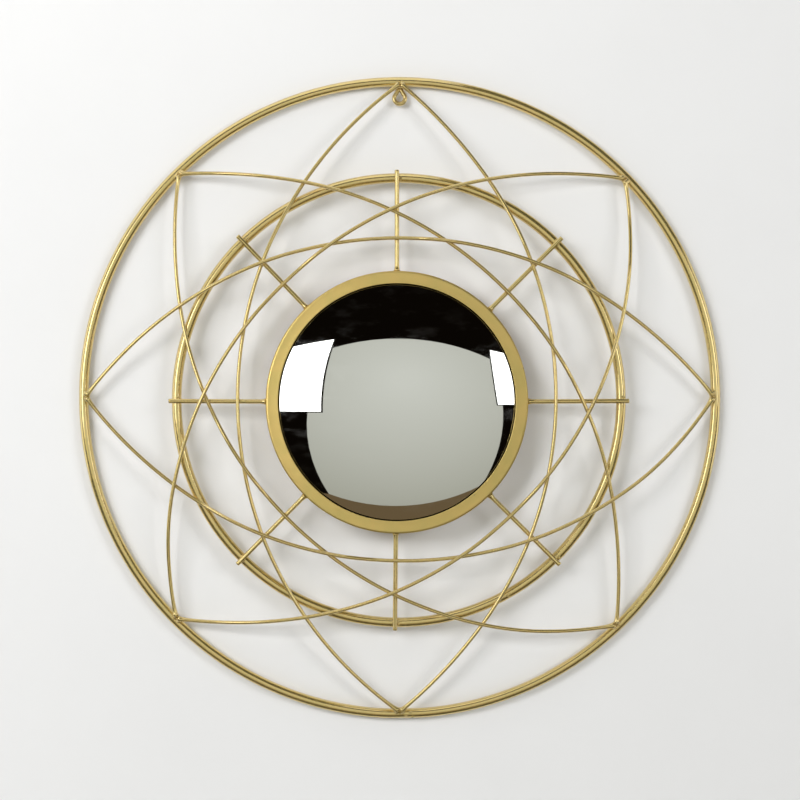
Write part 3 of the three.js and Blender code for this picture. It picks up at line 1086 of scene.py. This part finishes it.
# %% [markdown]
# A card is a glowing sheet that the camera doesn't see. Most stand upright and face the wall, so they are
# drawn as an outline on the wall, in metres right of and above the hub, and moved forward. The grey paper
# hangs from its top edge and its sides bow out, so each side is a shallow curve between two corners.

# %% Cards
BOW_STEPS = 12


def glow(name, colour, strength=1.0):
    """A finish that only shines. Returns it and its shader, so that another colour can be linked."""
    finish = bpy.data.materials.new(name)
    finish.use_nodes = True
    tree = finish.node_tree
    tree.nodes.remove(tree.nodes["Principled BSDF"])
    light = add_node(tree, "ShaderNodeEmission", Color=(*colour, 1), Strength=strength)
    set_inputs(tree.nodes["Material Output"], Surface=light.outputs[0])
    return finish, light


def card(name, corners, finish, lights_wall=True):
    """A glowing sheet of the set that casts no shadow, and need not light what is matt."""
    sheet = stage_sheet(name, corners, finish)
    sheet.visible_camera = False
    sheet.visible_shadow = False
    sheet.visible_diffuse = lights_wall
    return sheet


def ahead_of_wall(outline, distance):
    """The corners of an outline drawn round the hub, moved forward from the wall."""
    return [(x, -distance, HUB_Z + z) for x, z in outline]


def bowed(corners, bulges):
    """A clockwise outline whose sides curve outward, each by its own bulge at the middle."""
    outline = []
    for i, bulge in enumerate(bulges):
        start, end = Vector(corners[i]), Vector(corners[(i + 1) % len(corners)])
        side = end - start
        outward = Vector((-side.y, side.x)).normalized()
        for k in range(BOW_STEPS):
            share = k / BOW_STEPS
            outline.append(start + side * share + outward * bulge * 4 * share * (1 - share))
    return outline


# %% [markdown]
# The paper is brightest above the hub and a little to its right, where both softboxes reach it, and falls
# off towards its edges. The distance from that bright place blends two greys. It is measured with all
# widths squeezed, so that the bright place is wider than it is tall.

# %% Grey paper
PAPER_AHEAD = 2.2
PAPER_CORNERS = [(-0.93, 0.775), (1.42, 0.638), (1.35, -1.33), (-1.08, -1.45)]
PAPER_BULGES = [0.16, 0.24, 0.19, 0.33]
PAPER_BRIGHT, PAPER_DIM = (0.675, 0.682, 0.622), (0.43, 0.428, 0.362)
PAPER_FALL = (0.1, 1.9)
PAPER_STRETCH = 0.65
PAPER_BRIGHT_X, PAPER_BRIGHT_HEIGHT = 0.1, 0.3

paper_glow, paper_light = glow("paper_glow", PAPER_BRIGHT)
paper_tree = paper_glow.node_tree
paper_place = add_node(paper_tree, "ShaderNodeTexCoord").outputs["Object"]
squeezed = add_node(paper_tree, "ShaderNodeMapping", Vector=paper_place, Scale=(PAPER_STRETCH, 1, 1))
bright_place = (PAPER_BRIGHT_X * PAPER_STRETCH, -PAPER_AHEAD, HUB_Z + PAPER_BRIGHT_HEIGHT)
from_bright = add_node(paper_tree, "ShaderNodeVectorMath", {"operation": "DISTANCE"})
plug(from_bright.inputs[0], squeezed.outputs["Vector"])
plug(from_bright.inputs[1], bright_place)
paper_fall = remap(paper_tree, from_bright.outputs["Value"], *PAPER_FALL, 0, 1)
set_inputs(paper_light, Color=blend_colours(paper_tree, paper_fall, PAPER_BRIGHT, PAPER_DIM))
card("grey_paper", ahead_of_wall(bowed(PAPER_CORNERS, PAPER_BULGES), PAPER_AHEAD), paper_glow)

# %% [markdown]
# Below the paper the mirror shows a strip of brown floor. Above it and beside it the studio is dark, up to
# a pale ceiling and two pale side walls, which are cards standing square to the wall.

# %% Floor, ceiling and side walls
BROWN = (0.145, 0.100, 0.050)
PALE = (1.0, 1.0, 0.98)
BROWN_AHEAD, BROWN_LEFT_TOP, BROWN_RIGHT_TOP, BROWN_LOW, BROWN_HALF = 2.6, -1.80, -1.45, -3.4, 3.0
CEILING_HEIGHT, CEILING_DEPTH, CEILING_GLOW = 1.6, 1.6, 1.0
CEILING_RIGHT = 0.3
SIDE_AWAY, SIDE_DEPTH, SIDE_LOW, SIDE_HIGH = 3.3, 1.45, -0.8, 1.6
LEFT_SIDE_GLOW, RIGHT_SIDE_GLOW = 1.3, 1.2

brown_outline = [
    (-BROWN_HALF, BROWN_LEFT_TOP),
    (BROWN_HALF, BROWN_RIGHT_TOP),
    (BROWN_HALF, BROWN_LOW),
    (-BROWN_HALF, BROWN_LOW),
]
card("brown_floor", ahead_of_wall(brown_outline, BROWN_AHEAD), glow("brown_glow", BROWN)[0])

ceiling_z = HUB_Z + CEILING_HEIGHT
ceiling_corners = [
    (-SIDE_AWAY, 0, ceiling_z),
    (CEILING_RIGHT, 0, ceiling_z),
    (CEILING_RIGHT, -CEILING_DEPTH, ceiling_z),
    (-SIDE_AWAY, -CEILING_DEPTH, ceiling_z),
]
card("pale_ceiling", ceiling_corners, glow("ceiling_glow", PALE, CEILING_GLOW)[0])

side_walls = (("left", -SIDE_AWAY, LEFT_SIDE_GLOW), ("right", SIDE_AWAY, RIGHT_SIDE_GLOW))
for name, away, strength in side_walls:
    side_corners = [
        (away, 0, HUB_Z + SIDE_LOW),
        (away, -SIDE_DEPTH, HUB_Z + SIDE_LOW),
        (away, -SIDE_DEPTH, HUB_Z + SIDE_HIGH),
        (away, 0, HUB_Z + SIDE_HIGH),
    ]
    side_glow = glow(name + "_side_glow", PALE, strength)[0]
    card(name + "_side_wall", side_corners, side_glow, lights_wall=False)

# %% [markdown]
# Each softbox is made twice. Its glowing face is a card, only as bright as the highlights on satin gold
# should be, with the slightly skewed outline that the glass shows, and a larger black card just behind it
# is its rim.
#
# The light that it throws on the wall comes from an area light, which Blender samples better, and which is
# left out of reflections. These two stand further away than the faces and further out, because that is how
# far the shadows on the wall fall from the mirror. A third one stands in the left face's place and reaches
# only the pan, to give the band its sheen.

# %% Softboxes
SOFTBOX_AHEAD = 1.5
LEFT_FACE = [(-1.80, 0.58), (-0.646, 0.634), (-0.76, -0.098), (-1.80, -0.115)]
RIGHT_FACE = [(0.991, 0.551), (1.75, 0.50), (1.75, -0.036), (1.061, -0.032)]
LEFT_FACE_BULGES = [0, -0.03, 0, 0]
RIGHT_FACE_BULGES = [0, 0, 0, 0.015]
LEFT_FACE_GLOW, RIGHT_FACE_GLOW = 3.2, 2.6
RIM_BLACK = (0.012, 0.010, 0.008)
RIM_GROWTH = 1.035
RIM_BEHIND = 0.01
THROWS = [
    dict(name="left_throw", left=-3.9, right=-1.1, low=0.5, high=1.9, ahead=2.6, strength=9.15),
    dict(name="right_throw", left=1.8, right=4.2, low=0.3, high=1.5, ahead=2.6, strength=7.8),
]
BAND_SHEEN = dict(left=-1.32, right=-0.64, low=-0.10, high=0.62, ahead=SOFTBOX_AHEAD, strength=10.5)


def grown(corners, times):
    """The same outline, larger about its middle."""
    middle = sum((Vector(corner) for corner in corners), Vector((0, 0))) / len(corners)
    return [middle + (Vector(corner) - middle) * times for corner in corners]


def throw(name, left, right, low, high, ahead, strength):
    """An area light facing the wall. Strength is how bright its face would be beside white paper at 1."""
    width, height = right - left, high - low
    data = bpy.data.lights.new(name, "AREA")
    data.shape = "RECTANGLE"
    data.size = width
    data.size_y = height
    data.energy = strength * math.pi * width * height
    light = bpy.data.objects.new(name, data)
    bpy.context.collection.objects.link(light)
    light.location = ((left + right) / 2, -ahead, HUB_Z + (low + high) / 2)
    light.rotation_euler = (math.pi / 2, 0, 0)
    light.visible_camera = False
    light.visible_glossy = False
    return light


def only_on(light, piece):
    """Lets a light reach this piece alone."""
    lit = bpy.data.collections.new(light.name + "_reach")
    lit.objects.link(piece)
    light.light_linking.receiver_collection = lit


for name, corners, bulges, strength in (
    ("left_face", LEFT_FACE, LEFT_FACE_BULGES, LEFT_FACE_GLOW),
    ("right_face", RIGHT_FACE, RIGHT_FACE_BULGES, RIGHT_FACE_GLOW),
):
    outline = ahead_of_wall(bowed(corners, bulges), SOFTBOX_AHEAD)
    card(name, outline, glow(name + "_glow", PALE, strength)[0], lights_wall=False)
    rim = ahead_of_wall(bowed(grown(corners, RIM_GROWTH), bulges), SOFTBOX_AHEAD + RIM_BEHIND)
    card(name + "_rim", rim, glow(name + "_rim_black", RIM_BLACK)[0], lights_wall=False)
for place in THROWS:
    throw(**place)
band_light = throw("band_light", **BAND_SHEEN)
band_light.visible_glossy = True
only_on(band_light, pan)

# %% [markdown]
# A soft light behind the wall reaches only the hardboard, and nothing but the hardboard can block it, so
# the back of the mirror is evenly lit.

# %% Back light
BACK_LIGHT_STRENGTH, BACK_LIGHT_SIZE = 3.0, 1.6
BACK_LIGHT_X, BACK_LIGHT_BEHIND, BACK_LIGHT_HEIGHT = -1.2, 1.8, 1.0

back_data = bpy.data.lights.new("back_fill", "AREA")
back_data.size = BACK_LIGHT_SIZE
back_data.energy = BACK_LIGHT_STRENGTH * math.pi * back_data.size**2
back_fill = bpy.data.objects.new("back_fill", back_data)
bpy.context.collection.objects.link(back_fill)
back_fill.location = (BACK_LIGHT_X, BACK_LIGHT_BEHIND, HUB_Z + BACK_LIGHT_HEIGHT)
to_hub = Vector((0, 0, HUB_Z)) - back_fill.location
back_fill.rotation_euler = to_hub.to_track_quat("-Z", "Y").to_euler()
back_fill.visible_camera = False
only_on(back_fill, back_panel)
blocker = bpy.data.collections.new("blocked_only_by_the_panel")
blocker.objects.link(back_panel)
back_fill.light_linking.blocker_collection = blocker

# %% [markdown]
# The empty space around the set is pale to the camera but dark to everything else, as a studio with its
# lights off would be.

# %% Surroundings
PALE_SURROUND = (0.80, 0.80, 0.79)
DARK_SURROUND = (0.0030, 0.0020, 0.0012)

world = bpy.data.worlds.new("surroundings")
bpy.context.scene.world = world
world.use_nodes = True
world_tree = world.node_tree
dark = world_tree.nodes["Background"]
set_inputs(dark, Color=(*DARK_SURROUND, 1))
pale = add_node(world_tree, "ShaderNodeBackground", Color=(*PALE_SURROUND, 1), Strength=1.0)
to_camera = add_node(world_tree, "ShaderNodeLightPath").outputs["Is Camera Ray"]
surround = choose_shader(world_tree, to_camera, dark.outputs[0], pale.outputs[0])
set_inputs(world_tree.nodes["World Output"], Surface=surround)

bpy.context.scene.view_settings.view_transform = "Standard"
